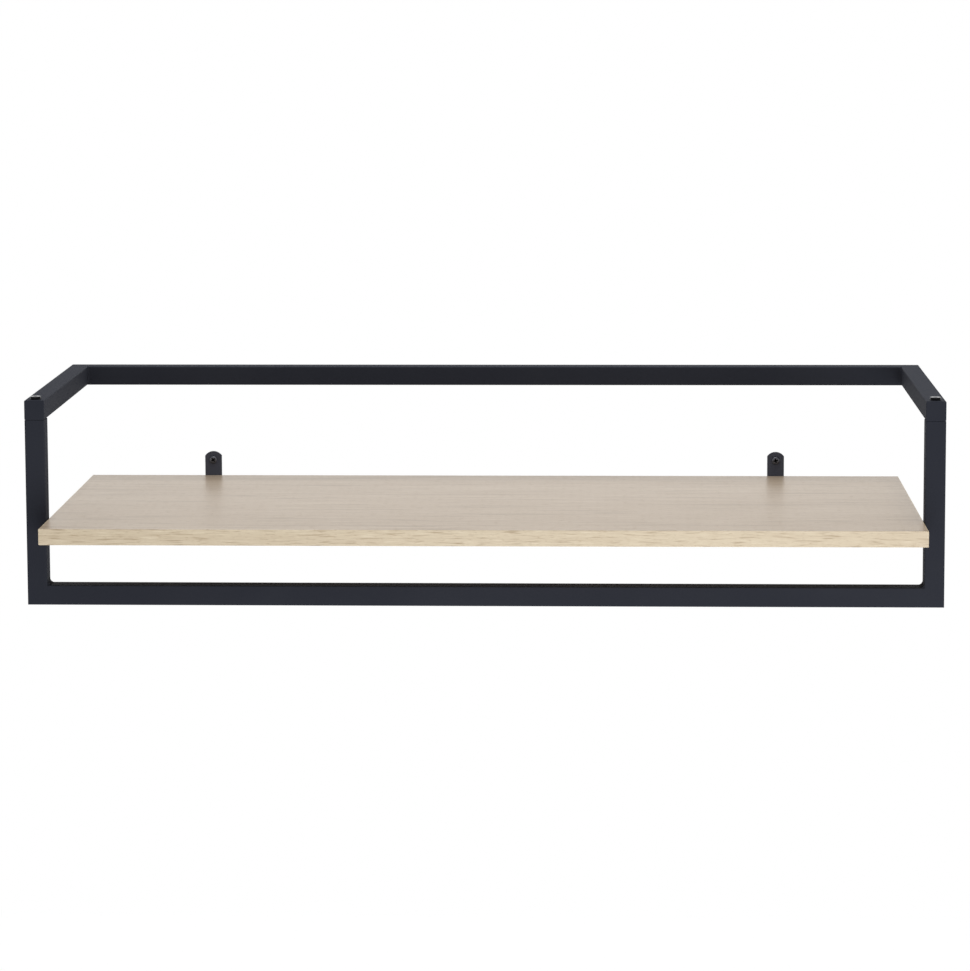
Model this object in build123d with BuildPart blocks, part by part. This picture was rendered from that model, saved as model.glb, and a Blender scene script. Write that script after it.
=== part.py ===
from build123d import *
import os

# A wall shelf: a square-tube steel frame hung on a wall, which carries a faced board.
# Millimetres. X runs along the wall, Y runs into the wall and Z is up.
# The origin is the centre of the four wall screws, on the surface of the wall.

# Square tube that the frame is welded from
tube_side = 20.0
tube_wall = 1.2
tube_corner = 1.4
tube_bore_corner = 0.4

# Frame
frame_width = 916.0
frame_depth = 300.0
room_below_board = 50.0
room_above_board = 101.0
cap_thick = 1.5
cap_round = 0.8
seam_chamfer = 0.4
lower_weld_leg = 5.0
upper_weld_leg = 2.0

# Board and its edge bands
board_thick = 16.0
board_depth = 350.0
board_side_gap = 1.0
band_thick = 1.0
band_round = 0.6

# Bolts that hold the front frame to the arms, and the threaded plugs they screw into
bolt_radius = 3.0
bolt_head_radius = 5.5
bolt_head_height = 3.0
bolt_head_rim = 2.4
bolt_head_flat = 4.9
bolt_run_out = 2.0
bolt_point = 0.6
bolt_hole_gap = 0.25
socket_across_flats = 4.0
socket_depth = 2.0
plug_height = 8.0
thread_gap = 0.05

# Wall brackets, bent from flat strip
bracket_inset = 153.0
bracket_width = 18.0
bracket_thick = 2.5
bracket_reach = 110.0
tab_rise = 26.0
tab_arch = 4.6
tab_hole_drop = 9.0
bracket_first_screw = 30.0
bracket_last_screw = 90.0

# Lugs welded to the posts under the board
lug_reach = 24.0
lug_width = 16.0
lug_thick = 3.0
lug_round = 4.0

# Screws into the wall
wall_head_radius = 4.2
wall_head_height = 2.8
wall_head_round = 1.6
wall_neck_radius = 2.0
wall_thread_radius = 2.25
wall_thread_length = 33.0
wall_point_length = 4.0
wall_hole_gap = 0.25
tab_screw_turns = {"left": 38.0, "right": 14.0}

# Keyholes in the back of the rear rail
keyhole_rise = 4.0
keyhole_travel = 7.0
keyhole_entry_gap = 0.5

# Screws into the board from below
wood_head_radius = 3.8
wood_head_height = 2.4
wood_head_round = 1.3
wood_screw_radius = 2.0
wood_point_length = 3.0
wood_above_point = 4.0
wood_hole_gap = 0.25
wood_pilot_gap = 0.5

# Cross recess of the wall and board screws
recess_length = 4.8
recess_width = 1.4
recess_depth = 1.7
point_radius = 0.3

# The share of its wall that a rounded or chamfered edge may take
edge_share = 0.6

# Heights above the bottom of the frame, then the same heights from the origin
frame_height = tube_side + room_below_board + board_thick + room_above_board + tube_side
tab_screw_height = tube_side + room_below_board + board_thick + tab_rise - tab_hole_drop
rail_screw_height = frame_height - tube_side / 2 + keyhole_rise
frame_bottom = -(tab_screw_height + rail_screw_height) / 2
frame_top = frame_bottom + frame_height
arm_bottom = frame_top - tube_side
arm_centre = frame_top - tube_side / 2
lower_rail_centre = frame_bottom + tube_side / 2
board_bottom = frame_bottom + tube_side + room_below_board
tab_screw_level = frame_bottom + tab_screw_height
rail_screw_level = frame_bottom + rail_screw_height

# Places along and across the wall
side_centre = frame_width / 2 - tube_side / 2
inner_face = frame_width / 2 - tube_side
post_y = -(frame_depth - tube_side / 2)
board_width = 2 * (inner_face - board_side_gap)
board_rear = -bracket_thick
board_front = board_rear - board_depth
board_edge_round = min(band_round, edge_share * band_thick)
bracket_x = frame_width / 2 - bracket_inset
tube_flat = tube_side - 2 * tube_corner
tube_bore = tube_side - 2 * tube_wall
lug_screw_x = inner_face - lug_reach / 2
wood_screw_depth = board_thick - wood_above_point

sides = {"left": -1, "right": 1}
os.makedirs("parts", exist_ok=True)


def write(piece, node):
    """Label a finished piece with its node's name and write it."""
    piece.part.label = node
    export_step(piece.part, f"parts/{node}.step")


def square_tube(start, length):
    """A length of the frame's tube, standing on the plane that it starts from."""
    with BuildPart() as tube:
        with BuildSketch(start):
            RectangleRounded(tube_side, tube_side, tube_corner)
            RectangleRounded(tube_bore, tube_bore, tube_bore_corner, mode=Mode.SUBTRACT)
        extrude(amount=length)
    return tube.part


def weld_bead(corner, leg, length):
    """A hollow fillet of weld in an inner corner, centred on the corner's plane."""
    throat = leg * (1 - 0.5**0.5)
    with BuildPart() as bead:
        with BuildSketch(corner):
            with BuildLine():
                Polyline((0, leg), (0, 0), (leg, 0))
                ThreePointArc((leg, 0), (throat, throat), (0, leg))
            make_face()
        extrude(amount=length / 2, both=True)
    return bead


def strip_outline(width, length, arch):
    """A flat strip's outline with one square end and one arched end."""
    shoulder = length - arch
    with BuildSketch() as outline:
        with BuildLine():
            Polyline((-width / 2, shoulder), (-width / 2, 0), (width / 2, 0), (width / 2, shoulder))
            ThreePointArc((width / 2, shoulder), (0, length), (-width / 2, shoulder))
        make_face()
    return outline.sketch


def pan_head(radius, height, rounding):
    """A pan head with a cross recess, seated on the XY plane."""
    with BuildPart() as head:
        Cylinder(radius, height, align=(Align.CENTER, Align.CENTER, Align.MIN))
        fillet(head.faces().sort_by(Axis.Z)[-1].edges(), min(rounding, edge_share * height))
        with BuildSketch(Plane.XY.offset(height)):
            Rectangle(recess_length, recess_width)
            Rectangle(recess_width, recess_length)
        extrude(amount=-recess_depth, mode=Mode.SUBTRACT)
    return head.part


def wall_screw(neck_length):
    """A wall screw seated on the XY plane: a plain neck through the metal, then thread and point."""
    head = pan_head(wall_head_radius, wall_head_height, wall_head_round)
    below = (Align.CENTER, Align.CENTER, Align.MAX)
    with BuildPart() as screw:
        add(head)
        Cylinder(wall_neck_radius, neck_length, align=below)
        with Locations((0, 0, -neck_length)):
            Cylinder(wall_thread_radius, wall_thread_length, align=below)
        with Locations((0, 0, -neck_length - wall_thread_length)):
            Cone(point_radius, wall_thread_radius, wall_point_length, align=below)
    return screw.part


def wood_screw(clamped):
    """A board screw seated on the XY plane, which passes what it clamps and then enters the board."""
    head = pan_head(wood_head_radius, wood_head_height, wood_head_round)
    below = (Align.CENTER, Align.CENTER, Align.MAX)
    shank = clamped + wood_screw_depth - wood_point_length
    with BuildPart() as screw:
        add(head)
        Cylinder(wood_screw_radius, shank, align=below)
        with Locations((0, 0, -shank)):
            Cone(point_radius, wood_screw_radius, wood_point_length, align=below)
    return screw.part


# Mitre planes at the four welded corners. Their front sides face along the two rails.
lower_mitres = {}
upper_mitres = {}
for name, side in sides.items():
    lower_mitres[name] = Plane((side * side_centre, post_y, lower_rail_centre), z_dir=(-side, 0, -1))
    upper_mitres[name] = Plane((side * side_centre, -tube_side / 2, arm_centre), z_dir=(-side, 1, 0))

# Rear rail: lies on the wall, mitred to both arms, with a keyhole at each wall screw
rear_rail_tube = square_tube(
    Plane((-frame_width / 2, -tube_side / 2, arm_centre), x_dir=(0, 1, 0), z_dir=(1, 0, 0)), frame_width
)
with BuildPart() as rear_rail:
    add(rear_rail_tube)
    for mitre in upper_mitres.values():
        split(bisect_by=mitre, keep=Keep.TOP)
    with BuildSketch(Plane((0, 0, rail_screw_level), x_dir=(1, 0, 0), z_dir=(0, -1, 0))):
        with GridLocations(2 * bracket_x, 0, 2, 1):
            Circle(wall_thread_radius + wall_hole_gap)
        with Locations((-bracket_x, -keyhole_travel / 2), (bracket_x, -keyhole_travel / 2)):
            Rectangle(2 * (wall_thread_radius + wall_hole_gap), keyhole_travel)
        with Locations((-bracket_x, -keyhole_travel), (bracket_x, -keyhole_travel)):
            Circle(wall_head_radius + keyhole_entry_gap)
    extrude(amount=tube_wall, mode=Mode.SUBTRACT)
write(rear_rail, "rear_rail")

# Lower rail: mitred to both posts
lower_rail_tube = square_tube(
    Plane((-frame_width / 2, post_y, lower_rail_centre), x_dir=(0, 1, 0), z_dir=(1, 0, 0)), frame_width
)
with BuildPart() as lower_rail:
    add(lower_rail_tube)
    for mitre in lower_mitres.values():
        split(bisect_by=mitre, keep=Keep.TOP)
write(lower_rail, "lower_rail")

# Low-head bolt with a hexagon socket, seated on the XY plane
with BuildPart() as frame_bolt_form:
    with BuildSketch(Plane.XZ):
        with BuildLine():
            Polyline((0, bolt_head_height), (0, 0), (bolt_head_radius, 0), (bolt_head_radius, bolt_head_rim))
            TangentArc(
                (bolt_head_radius, bolt_head_rim), (bolt_head_flat, bolt_head_height), tangent=(0, 1)
            )
            Line((bolt_head_flat, bolt_head_height), (0, bolt_head_height))
        make_face()
    revolve(axis=Axis.Z)
    with BuildSketch(Plane.XY.offset(bolt_head_height)):
        RegularPolygon(socket_across_flats / 2, 6, major_radius=False)
    extrude(amount=-socket_depth, mode=Mode.SUBTRACT)
    Cylinder(
        bolt_radius,
        tube_side + plug_height + bolt_run_out,
        align=(Align.CENTER, Align.CENTER, Align.MAX),
    )
    chamfer(frame_bolt_form.faces().sort_by(Axis.Z)[0].edges(), bolt_point)

# The arms, posts and everything on them, once for each side
for name, side in sides.items():
    arm_tube = square_tube(
        Plane((side * side_centre, 0, arm_centre), x_dir=(1, 0, 0), z_dir=(0, -1, 0)),
        frame_depth - cap_thick,
    )
    with BuildPart() as arm:
        add(arm_tube)
        split(bisect_by=upper_mitres[name], keep=Keep.BOTTOM)
        with Locations((side * side_centre, post_y, frame_top)):
            Hole(bolt_radius + bolt_hole_gap, depth=tube_side)
    write(arm, f"{name}_arm")

    with BuildPart() as arm_cap:
        with BuildSketch(
            Plane(
                (side * side_centre, cap_thick - frame_depth, arm_centre), x_dir=(1, 0, 0), z_dir=(0, -1, 0)
            )
        ):
            RectangleRounded(tube_side, tube_side, tube_corner)
        extrude(amount=cap_thick)
        fillet(arm_cap.faces().sort_by(Axis.Y)[0].edges(), min(cap_round, edge_share * cap_thick))
    write(arm_cap, f"{name}_arm_cap")

    post_tube = square_tube(
        Plane((side * side_centre, post_y, frame_bottom), x_dir=(1, 0, 0)), arm_bottom - frame_bottom
    )
    with BuildPart() as post:
        add(post_tube)
        split(bisect_by=lower_mitres[name], keep=Keep.BOTTOM)
        seam = post.faces().sort_by(Axis.Z)[-1].outer_wire()
        chamfer(seam.edges(), min(seam_chamfer, edge_share * tube_wall))
    write(post, f"{name}_post")

    with BuildPart() as post_plug:
        with BuildSketch(Plane((side * side_centre, post_y, arm_bottom))):
            RectangleRounded(tube_bore, tube_bore, tube_bore_corner)
            Circle(bolt_radius + thread_gap, mode=Mode.SUBTRACT)
        extrude(amount=-plug_height)
    write(post_plug, f"{name}_post_plug")

    with BuildPart() as frame_bolt:
        with Locations((side * side_centre, post_y, frame_top)):
            add(frame_bolt_form.part)
    write(frame_bolt, f"{name}_frame_bolt")

    lower_corner = Plane(
        (side * inner_face, post_y, frame_bottom + tube_side), x_dir=(-side, 0, 0), z_dir=(0, side, 0)
    )
    lower_weld = weld_bead(lower_corner, lower_weld_leg, tube_flat)
    write(lower_weld, f"{name}_lower_weld")

    upper_corner = Plane(
        (side * inner_face, -tube_side, arm_centre), x_dir=(-side, 0, 0), z_dir=(0, 0, side)
    )
    upper_weld = weld_bead(upper_corner, upper_weld_leg, tube_flat)
    write(upper_weld, f"{name}_upper_weld")

    with BuildPart() as board_lug:
        with BuildSketch(Plane((side * lug_screw_x, post_y, board_bottom))):
            Rectangle(lug_reach, lug_width)
            Circle(wood_screw_radius + wood_hole_gap, mode=Mode.SUBTRACT)
        extrude(amount=-lug_thick)
        free_end = board_lug.edges().filter_by(Axis.Z).sort_by(Axis.X)
        fillet(free_end[-2:] if side < 0 else free_end[:2], min(lug_round, edge_share * lug_width / 2))
    write(board_lug, f"{name}_board_lug")

    lug_screw_form = wood_screw(lug_thick)
    with BuildPart() as lug_screw:
        with Locations(Plane((side * lug_screw_x, post_y, board_bottom - lug_thick), z_dir=(0, 0, -1))):
            add(lug_screw_form)
    write(lug_screw, f"{name}_lug_screw")

# Wall brackets and their screws, once for each side
for name, side in sides.items():
    upright = strip_outline(bracket_width, bracket_thick + board_thick + tab_rise, tab_arch)
    foot = strip_outline(bracket_width, bracket_reach, tab_arch)
    foot_screws = [
        (side * bracket_x, -bracket_first_screw, board_bottom - bracket_thick),
        (side * bracket_x, -bracket_last_screw, board_bottom - bracket_thick),
    ]
    with BuildPart() as wall_bracket:
        with BuildSketch(
            Plane((side * bracket_x, 0, board_bottom - bracket_thick), x_dir=(1, 0, 0), z_dir=(0, -1, 0))
        ):
            add(upright)
        extrude(amount=bracket_thick)
        with BuildSketch(Plane((side * bracket_x, 0, board_bottom), x_dir=(1, 0, 0), z_dir=(0, 0, -1))):
            add(foot)
        extrude(amount=bracket_thick)
        bend_outside, bend_inside = wall_bracket.edges().filter_by(Axis.X).sort_by(Axis.Z)
        fillet(bend_outside, board_edge_round + bracket_thick)
        fillet(bend_inside, board_edge_round)
        with Locations(Plane((side * bracket_x, -bracket_thick, tab_screw_level), z_dir=(0, -1, 0))):
            Hole(wall_thread_radius + wall_hole_gap, depth=bracket_thick)
        with Locations(*[Plane(seat, z_dir=(0, 0, -1)) for seat in foot_screws]):
            Hole(wood_screw_radius + wood_hole_gap, depth=bracket_thick)
    write(wall_bracket, f"{name}_wall_bracket")

    bracket_screw_form = wood_screw(bracket_thick)
    with BuildPart() as bracket_screws:
        with Locations(*[Plane(seat, z_dir=(0, 0, -1)) for seat in foot_screws]):
            add(bracket_screw_form)
    write(bracket_screws, f"{name}_bracket_screws")

    tab_screw_form = wall_screw(bracket_thick)
    recess_line = Vector(1, 0, 0).rotate(Axis.Y, tab_screw_turns[name])
    tab_seat = Plane((side * bracket_x, -bracket_thick, tab_screw_level), x_dir=recess_line, z_dir=(0, -1, 0))
    with BuildPart() as tab_screw:
        with Locations(tab_seat):
            add(tab_screw_form)
    write(tab_screw, f"{name}_tab_screw")

    rail_screw_form = wall_screw(tube_wall)
    rail_seat = Plane((side * bracket_x, -tube_wall, rail_screw_level), x_dir=(1, 0, 0), z_dir=(0, -1, 0))
    with BuildPart() as rail_screw:
        with Locations(rail_seat):
            add(rail_screw_form)
    write(rail_screw, f"{name}_rail_screw")

# Board: a core with a band glued round each of its four edges
with BuildPart() as board_outline:
    with BuildSketch(Plane((0, (board_rear + board_front) / 2, board_bottom))):
        Rectangle(board_width, board_depth)
    extrude(amount=board_thick)
    round_edges = board_outline.edges().filter_by(Axis.Z, reverse=True)
    fillet(round_edges, board_edge_round)

core_rear = board_rear - band_thick
core_front = board_front + band_thick
core_side = board_width / 2 - band_thick
core_centre = (core_rear + core_front) / 2
pilot_holes = []
for side in sides.values():
    pilot_holes.append((side * bracket_x, -bracket_first_screw))
    pilot_holes.append((side * bracket_x, -bracket_last_screw))
    pilot_holes.append((side * lug_screw_x, post_y))
with BuildPart() as board_core:
    with BuildSketch(Plane((0, core_centre, board_bottom))):
        Rectangle(2 * core_side, core_rear - core_front)
    extrude(amount=board_thick)
    with Locations(*[Plane((x, y, board_bottom), z_dir=(0, 0, -1)) for x, y in pilot_holes]):
        Hole(wood_screw_radius + thread_gap, depth=wood_screw_depth + wood_pilot_gap)
write(board_core, "board_core")

bands = {
    "front_edge_band": (0, board_front + band_thick / 2, board_width, band_thick),
    "rear_edge_band": (0, board_rear - band_thick / 2, board_width, band_thick),
    "left_edge_band": (-core_side - band_thick / 2, core_centre, band_thick, core_rear - core_front),
    "right_edge_band": (core_side + band_thick / 2, core_centre, band_thick, core_rear - core_front),
}
for node, (band_x, band_y, band_long, band_deep) in bands.items():
    with BuildPart() as edge_band:
        add(board_outline.part)
        with BuildSketch(Plane((band_x, band_y, board_bottom))):
            Rectangle(band_long, band_deep)
        extrude(amount=board_thick, mode=Mode.INTERSECT)
    write(edge_band, node)
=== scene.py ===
"""The looks of a wall shelf: black square-tube frame, oak-faced board and wall fixings."""
import logging
import math
from dataclasses import dataclass, replace
from enum import Enum
from functools import reduce
from typing import Optional, Union

import bpy
import numpy as np
from mathutils import Matrix, Vector


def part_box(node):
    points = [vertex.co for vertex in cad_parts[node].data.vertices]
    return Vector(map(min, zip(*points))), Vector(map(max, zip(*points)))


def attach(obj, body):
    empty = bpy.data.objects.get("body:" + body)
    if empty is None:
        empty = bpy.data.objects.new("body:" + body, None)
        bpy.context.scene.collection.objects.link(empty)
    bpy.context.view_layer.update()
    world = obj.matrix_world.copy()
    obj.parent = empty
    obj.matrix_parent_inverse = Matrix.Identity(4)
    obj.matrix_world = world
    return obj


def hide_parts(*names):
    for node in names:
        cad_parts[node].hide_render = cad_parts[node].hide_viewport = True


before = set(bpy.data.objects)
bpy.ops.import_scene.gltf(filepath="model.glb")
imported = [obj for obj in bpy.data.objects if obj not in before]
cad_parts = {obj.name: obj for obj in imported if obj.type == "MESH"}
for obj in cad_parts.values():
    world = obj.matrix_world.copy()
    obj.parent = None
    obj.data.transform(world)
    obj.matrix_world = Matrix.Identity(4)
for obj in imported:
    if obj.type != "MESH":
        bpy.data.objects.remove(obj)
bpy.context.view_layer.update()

log = logging.getLogger("wall_shelf")

Span = tuple[float, float]
Triple = tuple[float, float, float]
Operand = Union["Signal", float]
Feed = Union["Signal", float, Triple]

MM = 0.001
# The least divisor where an angle may be zero.
TINY = 1e-6
TURN = 2 * math.pi
# The value that noise is about as often above as below.
NOISE_MIDDLE = 0.5
BODY = "root"
# The point attribute that says how far a point lies in a driven recess, where the plates paint shade.
HOLLOW = "hollow"
# Each side of the shelf and its direction along X.
SIDES = {"left": -1.0, "right": 1.0}
UP = Vector((0.0, 0.0, 1.0))
DOWN = Vector((0.0, 0.0, -1.0))
ROOMWARD = Vector((0.0, -1.0, 0.0))


class Run(Enum):
    """The axis that a length of tube runs along."""

    X = 0
    Y = 1
    Z = 2


class Drive(Enum):
    """The recess in a screw's or bolt's head."""

    CROSS = "cross"
    HEXAGON = "hexagon"


class Signal:
    """One output of a shader node, so that shader maths reads as a Python expression."""

    def __init__(self, graph: "Graph", socket: bpy.types.NodeSocket) -> None:
        """Keep the output socket and the graph that it belongs to."""
        self.graph = graph
        self.socket = socket

    def __add__(self, other: Operand) -> "Signal":
        """The sum of two values."""
        return self.graph.maths("ADD", self, other)

    __radd__ = __add__

    def __sub__(self, other: Operand) -> "Signal":
        """This value less another."""
        return self.graph.maths("SUBTRACT", self, other)

    def __rsub__(self, other: Operand) -> "Signal":
        """Another value less this one."""
        return self.graph.maths("SUBTRACT", other, self)

    def __mul__(self, other: Operand) -> "Signal":
        """The product of two values."""
        return self.graph.maths("MULTIPLY", self, other)

    __rmul__ = __mul__

    def __abs__(self) -> "Signal":
        """This value without its sign."""
        return self.graph.maths("ABSOLUTE", self)


class Graph:
    """A node tree, with the few helpers that this object's finishes are written in."""

    # Socket numbers of a Mix node that is set to colours.
    MIX_FACTOR, MIX_A, MIX_B, MIX_RESULT = 0, 6, 7, 2

    def __init__(self, tree: bpy.types.NodeTree) -> None:
        """Keep the tree that nodes are added to."""
        self.tree = tree

    def feed(self, socket: bpy.types.NodeSocket, value: Feed) -> None:
        """Link a signal to an input socket, or set a constant on it.

        Args:
            socket: the input to fill.
            value: a signal, a number, or a colour or vector of three numbers.
        """
        if isinstance(value, Signal):
            self.tree.links.new(value.socket, socket)
        elif socket.type == "RGBA":
            socket.default_value = (*value, 1.0)
        else:
            socket.default_value = value

    def node(
        self,
        kind: str,
        settings: dict[str, object],
        sockets: dict[Union[str, int], Feed],
        out: Union[str, int] = 0,
    ) -> Signal:
        """Add any node: its settings come first, then its sockets.

        Args:
            kind: the node's type.
            settings: properties of the node, by name.
            sockets: values or links of its inputs, by name or number.
            out: the output that is wanted.

        Returns:
            The output as a signal.
        """
        made = self.tree.nodes.new(kind)
        for name, value in settings.items():
            setattr(made, name, value)
        for key, value in sockets.items():
            self.feed(made.inputs[key], value)
        return Signal(self, made.outputs[out])

    def maths(self, operation: str, *operands: Operand) -> Signal:
        """A Math node on one or two values."""
        return self.node("ShaderNodeMath", {"operation": operation}, dict(enumerate(operands)))

    def mix(self, share: Operand, first: Feed, second: Feed) -> Signal:
        """A colour between two, by share from 0 to 1."""
        sockets = {self.MIX_FACTOR: share, self.MIX_A: first, self.MIX_B: second}
        return self.node("ShaderNodeMix", {"data_type": "RGBA"}, sockets, self.MIX_RESULT)

    def spot(self) -> Signal:
        """The point on the surface, in metres in the shelf's own frame."""
        return self.node("ShaderNodeTexCoord", {}, {}, "Object")

    def axis(self, vector: Signal, run: Run) -> Signal:
        """One coordinate of a vector."""
        return self.node("ShaderNodeSeparateXYZ", {}, {0: vector}, run.value)

    def stretch(self, vector: Signal, repeats: Triple) -> Signal:
        """A point scaled by a number of repeats to the metre on each axis."""
        return self.node("ShaderNodeVectorMath", {"operation": "MULTIPLY"}, {0: vector, 1: repeats})

    def noise(self, vector: Signal, scale: float = 1.0, detail: float = 2.0, warp: float = 0.0) -> Signal:
        """Smooth noise from 0 to 1, mostly near a half."""
        sockets = {"Vector": vector, "Scale": scale, "Detail": detail, "Distortion": warp}
        return self.node("ShaderNodeTexNoise", {}, sockets)

    def step(self, value: Signal, span: Span) -> Signal:
        """A smooth step: 0 below the span's low end, 1 above its high end."""
        sockets = {"Value": value, "From Min": span[0], "From Max": span[1]}
        return self.node("ShaderNodeMapRange", {"interpolation_type": "SMOOTHSTEP"}, sockets)

    def bump(self, height: Signal, depth: float, strength: float) -> Signal:
        """A normal tilted by a height that is depth metres for a value of 1."""
        sockets = {"Height": height, "Distance": depth, "Strength": strength}
        return self.node("ShaderNodeBump", {}, sockets)


class Finish(Graph):
    """A new material whose principled shader takes a set of signals and constants."""

    def __init__(self, name: str) -> None:
        """Make the material and keep its shader.

        Args:
            name: the material's name.
        """
        self.material = bpy.data.materials.new(name)
        self.material.use_nodes = True
        super().__init__(self.material.node_tree)
        self.shader = self.tree.nodes["Principled BSDF"]

    def shade(self, sockets: dict[str, Feed]) -> bpy.types.Material:
        """Fill the shader's sockets.

        Args:
            sockets: values or links, by the shader's own socket names.

        Returns:
            The finished material.
        """
        for name, value in sockets.items():
            self.feed(self.shader.inputs[name], value)
        return self.material


@dataclass(frozen=True)
class TubeEdges:
    """The four long edges of one square tube, or of a mirrored pair of them."""

    run: Run
    centre: Triple
    half: float = 10.0 * MM
    band: float = 1.5 * MM

    @classmethod
    def of(cls, node: str, run: Run) -> "TubeEdges":
        """The edges of a packed tube, from its box."""
        low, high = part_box(node)
        return cls(run, tuple((low + high) / 2))

    def mask(self, graph: Graph, spot: Signal) -> Signal:
        """How near a point is to a long edge.

        The two distances from the tube's centre line, across its run, are both as large as half the
        tube only at an edge, so the lesser of them is stepped from 0 on the flats to 1 at the edge.
        Distances along X take no sign, so that a pair of tubes shares one mask.

        Args:
            graph: the material's graph.
            spot: the point on the surface.

        Returns:
            A mask from 0 on the flats to 1 on the edges.
        """
        reach = []
        for run in Run:
            if run is self.run:
                continue
            place, middle = graph.axis(spot, run), self.centre[run.value]
            if run is Run.X:
                place, middle = abs(place), abs(middle)
            reach.append(abs(place - middle))
        return graph.step(graph.maths("MINIMUM", *reach), (self.half - self.band, self.half))


@dataclass(frozen=True)
class PowderCoat:
    """Satin black powder coat: orange peel, faint clouding, and a film that thins at the edges."""

    shade: Triple = (0.0232, 0.0254, 0.0345)
    cloud: Triple = (0.0273, 0.0297, 0.0390)
    thin: Triple = (0.0290, 0.0313, 0.0400)
    roughness: float = 0.68
    cloud_rough: float = 0.12
    grit_rough: float = 0.16
    worn_smooth: float = 0.08
    specular: float = 0.045
    peel_scale: float = 520.0
    grit_scale: float = 2300.0
    cloud_scale: float = 9.0
    worn_scale: float = 45.0
    cloud_span: Span = (0.3, 0.7)
    worn_span: Span = (0.25, 0.65)
    grit_share: float = 0.2
    peel_depth: float = 0.22 * MM
    peel_strength: float = 0.35

    def material(self, name: str, edges: Optional[TubeEdges] = None) -> bpy.types.Material:
        """Build the coat.

        Args:
            name: the material's name.
            edges: the tube's edges, where the coat is on a tube.

        Returns:
            The material.
        """
        coat = Finish(name)
        spot = coat.spot()
        peel = coat.noise(spot, self.peel_scale, detail=2.0)
        grit = coat.noise(spot, self.grit_scale, detail=1.0)
        cloud = coat.noise(spot, self.cloud_scale, detail=3.0)
        colour = coat.mix(coat.step(cloud, self.cloud_span), self.shade, self.cloud)
        rough = (
            self.roughness
            + (cloud - NOISE_MIDDLE) * self.cloud_rough
            + (grit - NOISE_MIDDLE) * self.grit_rough
        )
        if edges:
            patches = coat.step(coat.noise(spot, self.worn_scale, detail=4.0), self.worn_span)
            worn = edges.mask(coat, spot) * patches
            colour = coat.mix(worn, colour, self.thin)
            rough = rough - worn * self.worn_smooth
        height = peel * (1 - self.grit_share) + grit * self.grit_share
        return coat.shade(
            {
                "Base Color": colour,
                "Roughness": rough,
                "Specular IOR Level": self.specular,
                "Normal": coat.bump(height, self.peel_depth, self.peel_strength),
            }
        )


@dataclass(frozen=True)
class Plate:
    """The finish of a screw or bolt: tumbling marks, slight clouding, and painted shade that darkens the
    driven recess.
    """

    dark: Triple
    light: Triple
    # Painted shade: the colour that the driven recess is darkened to.
    recess: Triple
    roughness: float
    cloud_rough: float = 0.15
    mark_rough: float = 0.12
    cloud_scale: float = 160.0
    mark_scale: float = 1500.0
    cloud_span: Span = (0.3, 0.7)
    mark_depth: float = 0.05 * MM
    mark_strength: float = 0.25

    def material(self, name: str) -> bpy.types.Material:
        """Build the finish.

        Args:
            name: the material's name.

        Returns:
            The material.
        """
        plate = Finish(name)
        spot = plate.spot()
        cloud = plate.noise(spot, self.cloud_scale, detail=3.0)
        marks = plate.noise(spot, self.mark_scale, detail=3.0)
        hollow = plate.node("ShaderNodeAttribute", {"attribute_name": HOLLOW}, {}, "Fac")
        colour = plate.mix(plate.step(cloud, self.cloud_span), self.dark, self.light)
        rough = (
            self.roughness
            + (cloud - NOISE_MIDDLE) * self.cloud_rough
            + (marks - NOISE_MIDDLE) * self.mark_rough
        )
        return plate.shade(
            {
                # Painted shade: the recess colour darkens the points that lie in the driven recess.
                "Base Color": plate.mix(hollow, colour, self.recess),
                "Roughness": rough,
                "Metallic": 1.0,
                "Normal": plate.bump(marks, self.mark_depth, self.mark_strength),
            }
        )


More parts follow.
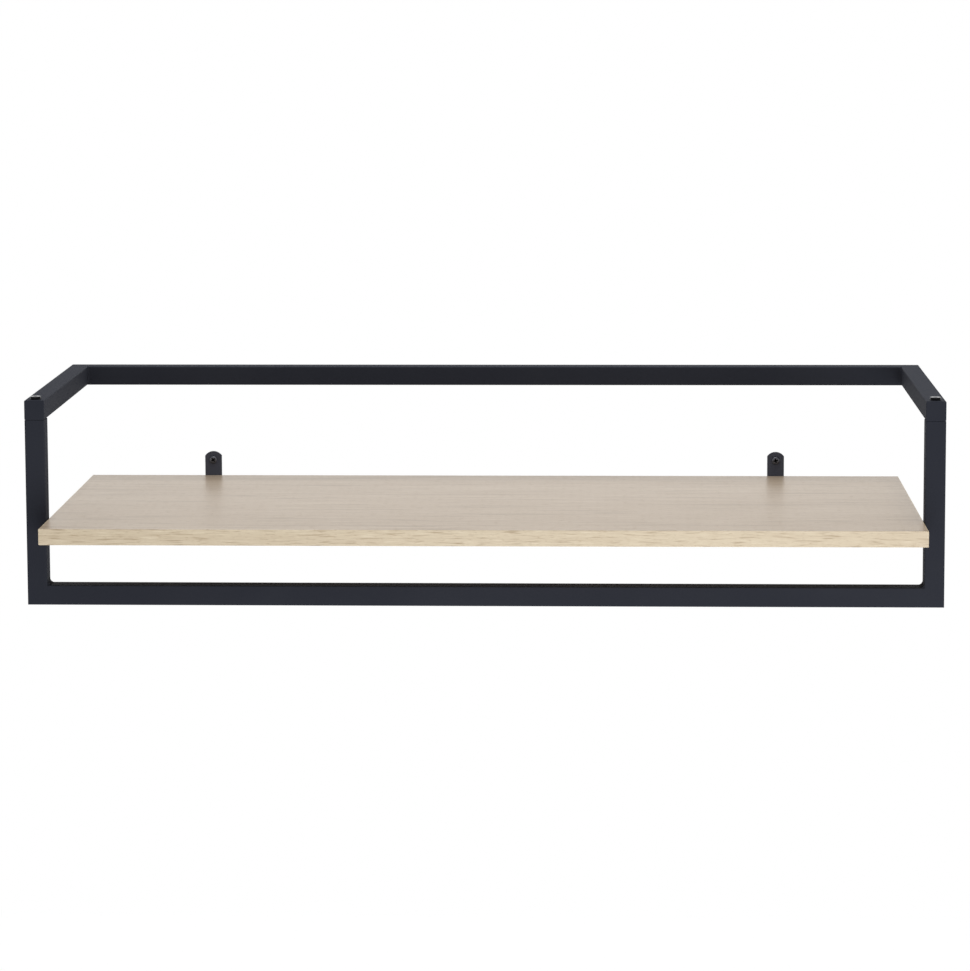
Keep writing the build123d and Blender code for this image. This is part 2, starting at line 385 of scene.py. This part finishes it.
@dataclass(frozen=True)
class OakDecor:
    """Pale oak decor: broad bands, darker and lighter flecks, fine fibre and open pores.

    Every pattern is noise on a point that is stretched many times more across the grain than along
    it, so that each blot is drawn out into a streak.
    """

    ground: Triple
    dark: Triple
    light: Triple
    pore: Triple
    band: Triple
    fleck: Triple
    fibre: Triple
    pores: Triple
    roughness: float
    specular: float
    fleck_share: float
    band_share: float = 0.5
    fibre_share: float = 0.35
    pore_share: float = 0.6
    band_warp: float = 0.4
    fleck_warp: float = 0.3
    band_span: Span = (0.25, 0.75)
    dark_span: Span = (0.52, 0.72)
    light_span: Span = (0.54, 0.74)
    fibre_span: Span = (0.45, 0.8)
    pore_span: Span = (0.62, 0.72)
    fibre_rough: float = 0.14
    pore_rough: float = 0.2
    fibre_height: float = 0.35
    grain_depth: float = 0.06 * MM
    grain_strength: float = 0.3

    def material(self, name: str, wraps: bool) -> bpy.types.Material:
        """Build the decor.

        Args:
            name: the material's name.
            wraps: True where the grain follows the board's edges round its corners.

        Returns:
            The material.
        """
        oak = Finish(name)
        spot = oak.spot()
        if wraps:
            along = oak.axis(spot, Run.X) + oak.axis(spot, Run.Y)
            spot = oak.node("ShaderNodeCombineXYZ", {}, {0: along, 2: oak.axis(spot, Run.Z)})
        band = oak.noise(oak.stretch(spot, self.band), detail=3.0, warp=self.band_warp)
        fleck = oak.noise(oak.stretch(spot, self.fleck), detail=3.0, warp=self.fleck_warp)
        fibre = oak.noise(oak.stretch(spot, self.fibre), detail=2.0)
        open_pores = oak.step(oak.noise(oak.stretch(spot, self.pores), detail=1.0), self.pore_span)
        colour = oak.mix(oak.step(band, self.band_span) * self.band_share, self.ground, self.light)
        colour = oak.mix(oak.step(fleck, self.dark_span) * self.fleck_share, colour, self.dark)
        colour = oak.mix(oak.step(1 - fleck, self.light_span) * self.fleck_share, colour, self.light)
        colour = oak.mix(oak.step(fibre, self.fibre_span) * self.fibre_share, colour, self.dark)
        colour = oak.mix(open_pores * self.pore_share, colour, self.pore)
        rough = self.roughness + (fibre - NOISE_MIDDLE) * self.fibre_rough + open_pores * self.pore_rough
        height = fibre * self.fibre_height + (1 - open_pores) * (1 - self.fibre_height)
        return oak.shade(
            {
                "Base Color": colour,
                "Roughness": rough,
                "Specular IOR Level": self.specular,
                "Normal": oak.bump(height, self.grain_depth, self.grain_strength),
            }
        )


@dataclass
class Surface:
    """Points and faces of a piece, in metres, and how far each point lies in a hollow, from 0 to 1."""

    points: np.ndarray
    faces: list[list[int]]
    hollow: np.ndarray

    @classmethod
    def rings(cls, points: np.ndarray, hollow: np.ndarray) -> "Surface":
        """Close a stack of rings into one skin.

        Each ring is joined to the next by a row of quads. The first and the last ring are closed by
        fans to their own middle points.

        Args:
            points: an array of rings by points round a ring by three coordinates.
            hollow: how far each ring lies in a hollow.

        Returns:
            The closed surface.
        """
        rings, count = points.shape[:2]
        here = np.arange(count)
        after = (here + 1) % count
        row = np.arange(rings - 1)[:, None] * count
        quads = np.stack([row + here, row + after, row + after + count, row + here + count], -1)
        first, last = rings * count, rings * count + 1
        end = (rings - 1) * count
        start_fan = np.stack([after, here, np.full(count, first)], -1)
        end_fan = np.stack([end + here, end + after, np.full(count, last)], -1)
        faces = quads.reshape(-1, 4).tolist() + start_fan.tolist() + end_fan.tolist()
        poles = np.stack([points[0].mean(0), points[-1].mean(0)])
        deep = np.concatenate([np.repeat(hollow, count), hollow[[0, -1]]])
        return cls(np.concatenate([points.reshape(-1, 3), poles]), faces, deep)

    def joined(self, other: "Surface") -> "Surface":
        """This surface and another as one.

        Args:
            other: the surface to add.

        Returns:
            A surface with the points and faces of both.
        """
        shift = len(self.points)
        moved = [[corner + shift for corner in face] for face in other.faces]
        deep = np.concatenate([self.hollow, other.hollow])
        return Surface(np.concatenate([self.points, other.points]), self.faces + moved, deep)

    def piece(self, name: str, material: bpy.types.Material, slot: str, node: str, crease: float) -> None:
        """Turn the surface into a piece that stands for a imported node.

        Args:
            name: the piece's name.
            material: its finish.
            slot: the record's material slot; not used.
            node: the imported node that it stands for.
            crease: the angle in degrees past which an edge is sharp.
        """
        mesh = bpy.data.meshes.new(name)
        mesh.from_pydata(self.points.tolist(), [], self.faces)
        mesh.polygons.foreach_set("use_smooth", np.ones(len(self.faces), dtype=bool))
        mesh.set_sharp_from_angle(angle=math.radians(crease))
        mesh.attributes.new(HOLLOW, "FLOAT", "POINT").data.foreach_set("value", self.hollow)
        mesh.materials.append(material)
        made = bpy.data.objects.new(name, mesh)
        bpy.context.scene.collection.objects.link(made)
        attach(made, BODY)
        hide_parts(node)
        log.info("%s: %d points, for %s", name, len(self.points), node)


@dataclass(frozen=True)
class Fastener:
    """A screw or bolt as one closed skin of revolution, with a helical thread and a driven recess.

    The recess's rings go from a rim on the head's flat top, over a bevel and down the walls, to the
    floor: each has a share of the outline's radius and a share of the depth.
    """

    head_radius: float
    head_height: float
    head_rim: float
    head_flat: float
    drive: Drive
    drive_size: float
    drive_depth: float
    neck_radius: float
    neck_length: float
    thread_radius: float
    thread_root: float
    thread_pitch: float
    thread_length: float
    point_length: float
    point_radius: float
    cross_width: float = 1.4 * MM
    ridge_width: float = 0.62
    recess_shares: tuple[float, ...] = (1.06, 1.0, 0.8, 0.4)
    recess_drops: tuple[float, ...] = (0.0, 0.06, 1.0, 1.08)
    crown_rings: int = 9
    round_count: int = 48
    rows_per_turn: int = 8
    crease: float = 32.0

    def recess(self, angle: np.ndarray) -> np.ndarray:
        """The recess's outline as a radius at each angle.

        A cross is the lesser of the line across an arm's end and the line along an arm's side,
        repeated every quarter turn. A hexagon is the line of one flat, repeated every sixth of a turn.

        Args:
            angle: angles round the head.

        Returns:
            The radius at each angle.
        """
        if self.drive is Drive.CROSS:
            off_arm = np.abs((angle + TURN / 8) % (TURN / 4) - TURN / 8)
            side = self.cross_width / 2 / np.maximum(np.sin(off_arm), TINY)
            return np.minimum(self.drive_size / 2 / np.cos(off_arm), side)
        off_flat = (angle + TURN / 12) % (TURN / 6) - TURN / 12
        return self.drive_size / 2 / np.cos(off_flat)

    def thread(self, angle: np.ndarray) -> tuple[np.ndarray, np.ndarray]:
        """The shank's rings, from its tip up to the neck.

        Height climbs one pitch for each turn along the ridge, so the ridge is a tent function of the
        part of a turn left over from height / pitch - angle / turn. It rises from the root to the
        full radius, fades out at the neck, and is drawn in to the tip by a straight taper.

        Args:
            angle: angles round the shank, as one row.

        Returns:
            Radii and heights, each rings by angles.
        """
        total = self.thread_length + self.point_length
        rows = int(total / self.thread_pitch * self.rows_per_turn)
        height = np.linspace(-self.neck_length - total, -self.neck_length, rows)[:, None]
        turn = (height / self.thread_pitch - angle / TURN) % 1.0
        ridge = np.clip(1.0 - np.abs(2 * turn - 1) / self.ridge_width, 0.0, 1.0)
        fade = np.clip(-(height + self.neck_length) / self.thread_pitch, 0.0, 1.0)
        radius = self.thread_root + (self.thread_radius - self.thread_root) * ridge * fade
        from_tip = height + self.neck_length + total
        taper = np.clip(from_tip / self.point_length, 0.0, 1.0)
        least = self.point_radius / self.thread_root
        radius = radius * (least + (1.0 - least) * taper)
        return radius, np.broadcast_to(height, radius.shape)

    def head(self, angle: np.ndarray) -> tuple[np.ndarray, np.ndarray]:
        """The neck's and head's rings, from the neck up and down again into the recess.

        The crown is a quarter of an ellipse from the rim to the flat top. The recess has a small
        bevel, walls that lean in, and a floor that dips to the middle.

        Args:
            angle: angles round the head, as one row.

        Returns:
            Radii and heights, each rings by angles.
        """
        crown = np.linspace(0.0, TURN / 4, self.crown_rings)
        crown_radii = self.head_flat + (self.head_radius - self.head_flat) * np.cos(crown)
        crown_heights = self.head_rim + (self.head_height - self.head_rim) * np.sin(crown)
        radii = np.concatenate([[self.neck_radius, self.neck_radius, self.head_radius], crown_radii])
        heights = np.concatenate([[-self.neck_length, 0.0, 0.0], crown_heights])
        recess_radii = np.array(self.recess_shares)[:, None] * self.recess(angle)
        recess_heights = self.head_height - np.array(self.recess_drops) * self.drive_depth
        radius = np.concatenate([np.repeat(radii[:, None], angle.size, 1), recess_radii])
        height = np.concatenate([heights, recess_heights])
        return radius, np.repeat(height[:, None], angle.size, 1)

    def surface(self, seat: Vector, out: Vector, turn: float = 0.0) -> Surface:
        """Build the fastener where it is driven.

        A ring's points are its radii turned about the axis, at its heights along it. The rings inside
        the recess's rim count as hollow.

        Args:
            seat: the middle of the face that the head bears on.
            out: the direction that the head points in.
            turn: how far the recess is turned, in degrees.

        Returns:
            The closed surface.
        """
        angle = np.linspace(0.0, TURN, self.round_count, endpoint=False)[None, :]
        shank_radius, shank_height = self.thread(angle)
        head_radius, head_height = self.head(angle)
        radius = np.concatenate([shank_radius, head_radius])
        height = np.concatenate([shank_height, head_height])
        spin = angle + math.radians(turn)
        local = np.stack([radius * np.cos(spin), radius * np.sin(spin), height], -1)
        basis = np.array(out.to_track_quat("Z", "X").to_matrix())
        hollow = np.zeros(len(radius))
        hollow[1 - len(self.recess_shares):] = 1.0
        return Surface.rings(local @ basis.T + np.array(seat), hollow)


@dataclass(frozen=True)
class WeldBead:
    """A fillet of weld in an inner corner, with the ripples that the arc leaves."""

    leg: float
    ripple_pitch: float = 1.9 * MM
    ripple_height: float = 0.22 * MM
    ripple_bow: float = 0.45
    ripple_skew: float = 0.7
    end_loss: float = 0.35
    end_power: int = 10
    rows: int = 90
    steps: int = 17
    crease: float = 50.0

    def surface(self, corner: Vector, first: Vector, second: Vector, along: Vector) -> Surface:
        """Carry the fillet along its corner.

        The section is a hollow quarter circle about the point one leg out along both walls, closed by
        the corner itself. Each ripple is a rounded, lopsided tooth that bows along the bead towards
        the walls and dies away there. The legs grow shorter close to the bead's two ends.

        Args:
            corner: the middle of the corner line.
            first: one wall's direction away from the corner.
            second: the other wall's direction away from the corner.
            along: the corner line's direction, as long as the bead.

        Returns:
            The closed surface.
        """
        run = np.linspace(-0.5, 0.5, self.rows)[:, None]
        sweep = np.linspace(0.0, TURN / 4, self.steps)[None, :]
        leg = self.leg * (1.0 - self.end_loss * np.abs(2 * run) ** self.end_power)
        bow = self.ripple_bow * (1.0 - np.sin(2 * sweep))
        phase = (run * along.length / self.ripple_pitch + bow) % 1.0
        tooth = np.sin(math.pi * phase**self.ripple_skew) * np.sin(2 * sweep)
        radius = leg - self.ripple_height * tooth
        root = np.zeros((self.rows, 1))
        across = np.concatenate([leg - radius * np.sin(sweep), root], 1)
        upward = np.concatenate([leg - radius * np.cos(sweep), root], 1)
        points = (
            np.array(corner)
            + across[..., None] * np.array(first)
            + upward[..., None] * np.array(second)
            + (run * np.ones_like(across))[..., None] * np.array(along)
        )
        if first.cross(second).dot(along) < 0:
            points = points[:, ::-1]
        return Surface.rings(points, np.zeros(self.rows))


def dress(nodes: list[str], material: bpy.types.Material) -> None:
    """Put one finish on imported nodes.

    Args:
        nodes: names of the nodes.
        material: the finish.
    """
    for node in nodes:
        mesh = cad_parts[node].data
        if not mesh.materials:
            mesh.materials.append(material)
        for place in range(len(mesh.materials)):
            mesh.materials[place] = material
        log.info("%s: %s", node, material.name)


@dataclass
class TubeFrame:
    """The welded square-tube frame: rails, arms, posts, caps, lugs and weld beads."""

    coat: PowderCoat = PowderCoat()
    lower_bead: WeldBead = WeldBead(5.0 * MM)
    upper_bead: WeldBead = WeldBead(2.0 * MM)
    bead_length: float = 17.2 * MM
    slot: str = "black_coat"

    def dress(self) -> None:
        """Give every packed tube, cap and lug its coat."""
        families = {
            "rear_rail": (Run.X, ["rear_rail"]),
            "lower_rail": (Run.X, ["lower_rail"]),
            "right_arm": (Run.Y, ["left_arm", "right_arm", "left_arm_cap", "right_arm_cap"]),
            "right_post": (Run.Z, ["left_post", "right_post"]),
        }
        for model, (run, nodes) in families.items():
            dress(nodes, self.coat.material(f"{model}_coat", TubeEdges.of(model, run)))
        dress(["left_board_lug", "right_board_lug"], self.coat.material("lug_coat"))

    def weld(self) -> None:
        """Build the four weld beads: post and lower rail, then arm and rear rail, on each side."""
        paint = self.coat.material("weld_coat")
        rail_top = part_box("lower_rail")[1].z
        back_low, back_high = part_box("rear_rail")
        back_middle = (back_low.z + back_high.z) / 2
        for name, side in SIDES.items():
            inward = Vector((-side, 0.0, 0.0))
            post_low, post_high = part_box(f"{name}_post")
            inner = post_low.x if side > 0 else post_high.x
            post_middle = (post_low.y + post_high.y) / 2
            for place, bead, corner, wall, along in (
                ("lower", self.lower_bead, Vector((inner, post_middle, rail_top)), UP, -ROOMWARD),
                ("upper", self.upper_bead, Vector((inner, back_low.y, back_middle)), ROOMWARD, UP),
            ):
                made = bead.surface(corner, inward, wall, along * self.bead_length)
                made.piece(f"{name}_{place}_bead", paint, self.slot, f"{name}_{place}_weld", bead.crease)

    def build(self) -> None:
        """Dress the tubes and add the beads."""
        self.dress()
        self.weld()


@dataclass
class Board:
    """The oak-faced board and the bands on its edges."""

    # Painted shade: the face's decor is a darker copy of the bands' decor, for the weaker light on the
    # board's top.
    face: OakDecor = OakDecor(
        ground=(0.452, 0.357, 0.261),
        dark=(0.34, 0.26, 0.182),
        light=(0.532, 0.437, 0.333),
        pore=(0.25, 0.18, 0.12),
        band=(1.1, 16.0, 16.0),
        fleck=(9.0, 130.0, 130.0),
        fibre=(40.0, 1300.0, 1300.0),
        pores=(110.0, 1500.0, 1500.0),
        roughness=0.34,
        specular=0.72,
        fleck_share=0.75,
    )
    edge: OakDecor = OakDecor(
        ground=(0.585, 0.485, 0.343),
        dark=(0.40, 0.305, 0.195),
        light=(0.695, 0.60, 0.443),
        pore=(0.36, 0.26, 0.15),
        band=(5.0, 0.0, 130.0),
        fleck=(42.0, 0.0, 640.0),
        fibre=(90.0, 0.0, 2600.0),
        pores=(150.0, 0.0, 1900.0),
        roughness=0.38,
        specular=0.5,
        fleck_share=1.0,
    )

    def build(self) -> None:
        """Dress the core and the four bands."""
        # The face's darker decor is painted shade for the board's top.
        dress(["board_core"], self.face.material("oak_face_decor_shaded", wraps=False))
        bands = [f"{place}_edge_band" for place in ("front", "rear", "left", "right")]
        dress(bands, self.edge.material("oak_band_decor", wraps=True))


@dataclass
class Fixings:
    """Frame bolts, wall screws, board screws, wall brackets and the plugs in the posts."""

    # Each plate's recess colour is painted shade in the driven recess.
    bright: Plate = Plate(
        dark=(0.005, 0.005, 0.006),
        light=(0.009, 0.009, 0.010),
        recess=(0.003, 0.003, 0.003),
        roughness=0.10,
    )
    satin: Plate = Plate(
        dark=(0.077, 0.079, 0.091),
        light=(0.102, 0.104, 0.119),
        recess=(0.002, 0.002, 0.002),
        roughness=0.24,
    )
    zinc: Plate = Plate(
        dark=(0.46, 0.47, 0.48),
        light=(0.56, 0.56, 0.55),
        recess=(0.24, 0.24, 0.24),
        roughness=0.40,
    )
    # Painted light: the brackets' coat is a lighter, bluer copy of the frame's black coat, making up for
    # the little light that reaches the tabs behind the board.
    coat: PowderCoat = PowderCoat(shade=(0.078, 0.083, 0.108), cloud=(0.092, 0.098, 0.126))
    bolt: Fastener = Fastener(
        head_radius=5.5 * MM,
        head_height=3.0 * MM,
        head_rim=2.4 * MM,
        head_flat=4.9 * MM,
        drive=Drive.HEXAGON,
        drive_size=4.0 * MM,
        drive_depth=2.0 * MM,
        neck_radius=2.9 * MM,
        neck_length=8.0 * MM,
        thread_radius=3.0 * MM,
        thread_root=2.45 * MM,
        thread_pitch=1.0 * MM,
        thread_length=21.0 * MM,
        point_length=1.0 * MM,
        point_radius=2.2 * MM,
    )
    wall_screw: Fastener = Fastener(
        head_radius=4.2 * MM,
        head_height=2.8 * MM,
        head_rim=1.2 * MM,
        head_flat=2.7 * MM,
        drive=Drive.CROSS,
        drive_size=4.8 * MM,
        drive_depth=1.7 * MM,
        neck_radius=1.9 * MM,
        neck_length=2.5 * MM,
        thread_radius=2.25 * MM,
        thread_root=1.6 * MM,
        thread_pitch=2.0 * MM,
        thread_length=33.0 * MM,
        point_length=4.0 * MM,
        point_radius=0.3 * MM,
    )
    board_screw: Fastener = replace(
        wall_screw,
        head_radius=3.8 * MM,
        head_height=2.4 * MM,
        head_rim=1.1 * MM,
        neck_radius=1.7 * MM,
        thread_radius=2.0 * MM,
        thread_root=1.4 * MM,
        thread_length=8.0 * MM,
    )
    bracket_thick: float = 2.5 * MM
    rail_wall: float = 1.2 * MM
    lug_thick: float = 3.0 * MM
    left_tab_turn: float = 38.0
    right_tab_turn: float = 14.0
    board_turns: tuple[float, ...] = (25.0, 61.0)
    dark_slot: str = "black_bolt"
    zinc_slot: str = "zinc_steel"

    def bolt_arm(self, name: str, bright: bpy.types.Material) -> None:
        """Put the bolt through one arm, down into its post.

        Args:
            name: the side of the shelf.
            bright: the bolts' finish.
        """
        node = f"{name}_frame_bolt"
        low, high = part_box(node)
        seat = (low + high) / 2
        seat.z = high.z - self.bolt.head_height
        self.bolt.surface(seat, UP).piece(f"{name}_bolt", bright, self.dark_slot, node, self.bolt.crease)

    def screw_to_wall(self, name: str, satin: bpy.types.Material, zinc: bpy.types.Material) -> None:
        """Drive one side's wall screws, through the bracket's tab and through the rear rail's back.

        Args:
            name: the side of the shelf.
            satin: the tab screws' finish.
            zinc: the rail screws' finish.
        """
        tab_turn = self.left_tab_turn if SIDES[name] < 0 else self.right_tab_turn
        for place, clamped, turn, plate, slot in (
            ("tab", self.bracket_thick, tab_turn, satin, self.dark_slot),
            ("rail", self.rail_wall, 0.0, zinc, self.zinc_slot),
        ):
            node = f"{name}_{place}_screw"
            low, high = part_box(node)
            screw = replace(self.wall_screw, neck_length=clamped)
            seat = (low + high) / 2
            seat.y = low.y + screw.head_height
            made = screw.surface(seat, ROOMWARD, turn)
            made.piece(f"{name}_{place}_wall_screw", plate, slot, node, screw.crease)

    def screw_to_board(self, name: str, zinc: bpy.types.Material) -> None:
        """Drive one side's screws up into the board, in a row along the bracket's foot and the lug.

        Args:
            name: the side of the shelf.
            zinc: the screws' finish.
        """
        for place, clamped, count in (
            ("bracket_screws", self.bracket_thick, 2),
            ("lug_screw", self.lug_thick, 1),
        ):
            node = f"{name}_{place}"
            low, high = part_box(node)
            screw = replace(self.board_screw, neck_length=clamped)
            rows = np.linspace(low.y + screw.head_radius, high.y - screw.head_radius, count)
            seats = [Vector(((low.x + high.x) / 2, y, low.z + screw.head_height)) for y in rows]
            driven = [screw.surface(seat, DOWN, turn) for seat, turn in zip(seats, self.board_turns)]
            made = reduce(Surface.joined, driven)
            made.piece(f"{name}_{place}_zinc", zinc, self.zinc_slot, node, screw.crease)

    def build(self) -> None:
        """Dress the brackets and plugs, and build every screw and bolt."""
        # The brackets' lighter coat is painted light.
        dress(["left_wall_bracket", "right_wall_bracket"], self.coat.material("bracket_coat_painted_light"))
        bright = self.bright.material("bright_black")
        satin = self.satin.material("satin_black")
        zinc = self.zinc.material("zinc_plate")
        dress(["left_post_plug", "right_post_plug"], zinc)
        for name in SIDES:
            self.bolt_arm(name, bright)
            self.screw_to_wall(name, satin, zinc)
            self.screw_to_board(name, zinc)


@dataclass(frozen=True)
class Lamp:
    """A soft box: where it hangs, what it aims at, its size and its power."""

    name: str
    place: Triple
    aim: Triple
    width: float
    height: float
    watts: float

    def build(self) -> None:
        """Hang the lamp."""
        light = bpy.data.lights.new(self.name, "AREA")
        light.shape = "RECTANGLE"
        light.size = self.width
        light.size_y = self.height
        light.energy = self.watts
        lamp = bpy.data.objects.new(self.name, light)
        towards = Vector(self.aim) - Vector(self.place)
        turned = towards.to_track_quat("-Z", "Y").to_matrix().to_4x4()
        lamp.matrix_world = Matrix.Translation(self.place) @ turned
        bpy.context.scene.collection.objects.link(lamp)


@dataclass
class Studio:
    """A white studio: camera, soft lamps, world light and a pale floor far below the shelf."""

    eye: Triple = (0.125527, -3.559322, 0.486525)
    forward: Triple = (-0.037518, 0.992894, -0.112934)
    upward: Triple = (-0.000340, 0.113001, 0.993595)
    lens: float = 122.9605
    sensor: float = 36.0
    shift_down: float = 0.14985
    white: Triple = (1.0, 1.0, 1.0)
    black: Triple = (0.0, 0.0, 0.0)
    ambient: float = 0.42
    floor_level: float = -3.2
    floor_reach: float = 9.0
    floor_cells: int = 8
    floor_paint: Triple = (0.88, 0.88, 0.88)
    floor_glow: Triple = (0.62, 0.62, 0.62)
    floor_roughness: float = 0.9
    floor_specular: float = 0.1
    lamps: tuple[Lamp, ...] = (
        Lamp(
            name="front_box",
            place=(0.65, -1.95, -0.95),
            aim=(0.15, -0.25, -0.1),
            width=2.4,
            height=1.5,
            watts=36.0,
        ),
        Lamp(
            name="top_box",
            place=(0.1, -0.15, 1.5),
            aim=(0.1, -0.15, 0.0),
            width=1.4,
            height=1.0,
            watts=16.0,
        ),
    )

    def camera(self) -> None:
        """Set the camera to the photographed view."""
        data = bpy.data.cameras.new("view")
        data.lens = self.lens
        data.sensor_width = self.sensor
        data.shift_y = -self.shift_down
        camera = bpy.data.objects.new("view", data)
        back = -Vector(self.forward).normalized()
        right = Vector(self.upward).cross(back).normalized()
        turned = Matrix((right, back.cross(right), back)).transposed().to_4x4()
        camera.matrix_world = Matrix.Translation(self.eye) @ turned
        bpy.context.scene.collection.objects.link(camera)
        bpy.context.scene.camera = camera

    def seen(self, graph: Graph) -> Signal:
        """1 for rays that show the background: straight, mirrored or through glass.

        Args:
            graph: the graph of the world or the floor.

        Returns:
            The greatest of the three kinds of ray, 0 or 1.
        """
        path = graph.tree.nodes.new("ShaderNodeLightPath")
        kinds = ("Camera", "Glossy", "Transmission")
        straight, mirrored, through = (Signal(graph, path.outputs[f"Is {kind} Ray"]) for kind in kinds)
        return graph.maths("MAXIMUM", graph.maths("MAXIMUM", straight, mirrored), through)

    def world(self) -> None:
        """White where it is seen, and a plain soft light elsewhere."""
        world = bpy.data.worlds.new("studio")
        world.use_nodes = True
        graph = Graph(world.node_tree)
        backdrop = graph.tree.nodes["Background"]
        graph.feed(backdrop.inputs["Color"], self.white)
        graph.feed(backdrop.inputs["Strength"], self.ambient + self.seen(graph) * (1.0 - self.ambient))
        bpy.context.scene.world = world

    def floor(self) -> None:
        """A pale floor that is white to the camera and still takes the shelf's shadow.

        It is a square grid of points at one level, joined by quads.
        """
        cells, corners = self.floor_cells, self.floor_cells + 1
        side = np.linspace(-self.floor_reach, self.floor_reach, corners)
        across, along = np.meshgrid(side, side)
        points = np.stack([across, along, np.full_like(across, self.floor_level)], -1).reshape(-1, 3)
        row = np.arange(cells)[:, None] * corners + np.arange(cells)[None, :]
        quads = np.stack([row, row + 1, row + corners + 1, row + corners], -1).reshape(-1, 4)
        mesh = bpy.data.meshes.new("floor")
        mesh.from_pydata(points.tolist(), [], quads.tolist())
        paint = Finish("floor_paint")
        material = paint.shade(
            {
                "Base Color": self.floor_paint,
                "Roughness": self.floor_roughness,
                "Specular IOR Level": self.floor_specular,
                "Emission Color": paint.mix(self.seen(paint), self.black, self.floor_glow),
                "Emission Strength": 1.0,
            }
        )
        mesh.materials.append(material)
        floor = bpy.data.objects.new("floor", mesh)
        bpy.context.scene.collection.objects.link(floor)

    def build(self) -> None:
        """Set the camera, lamps, world and floor."""
        self.camera()
        self.world()
        self.floor()
        for lamp in self.lamps:
            lamp.build()
        bpy.context.scene.view_settings.view_transform = "Standard"


def main() -> None:
    """Build the studio, then each sub-assembly in order."""
    logging.basicConfig(level=logging.INFO, format="%(message)s")
    Studio().build()
    TubeFrame().build()
    Board().build()
    Fixings().build()


if __name__ == "__main__":
    main()
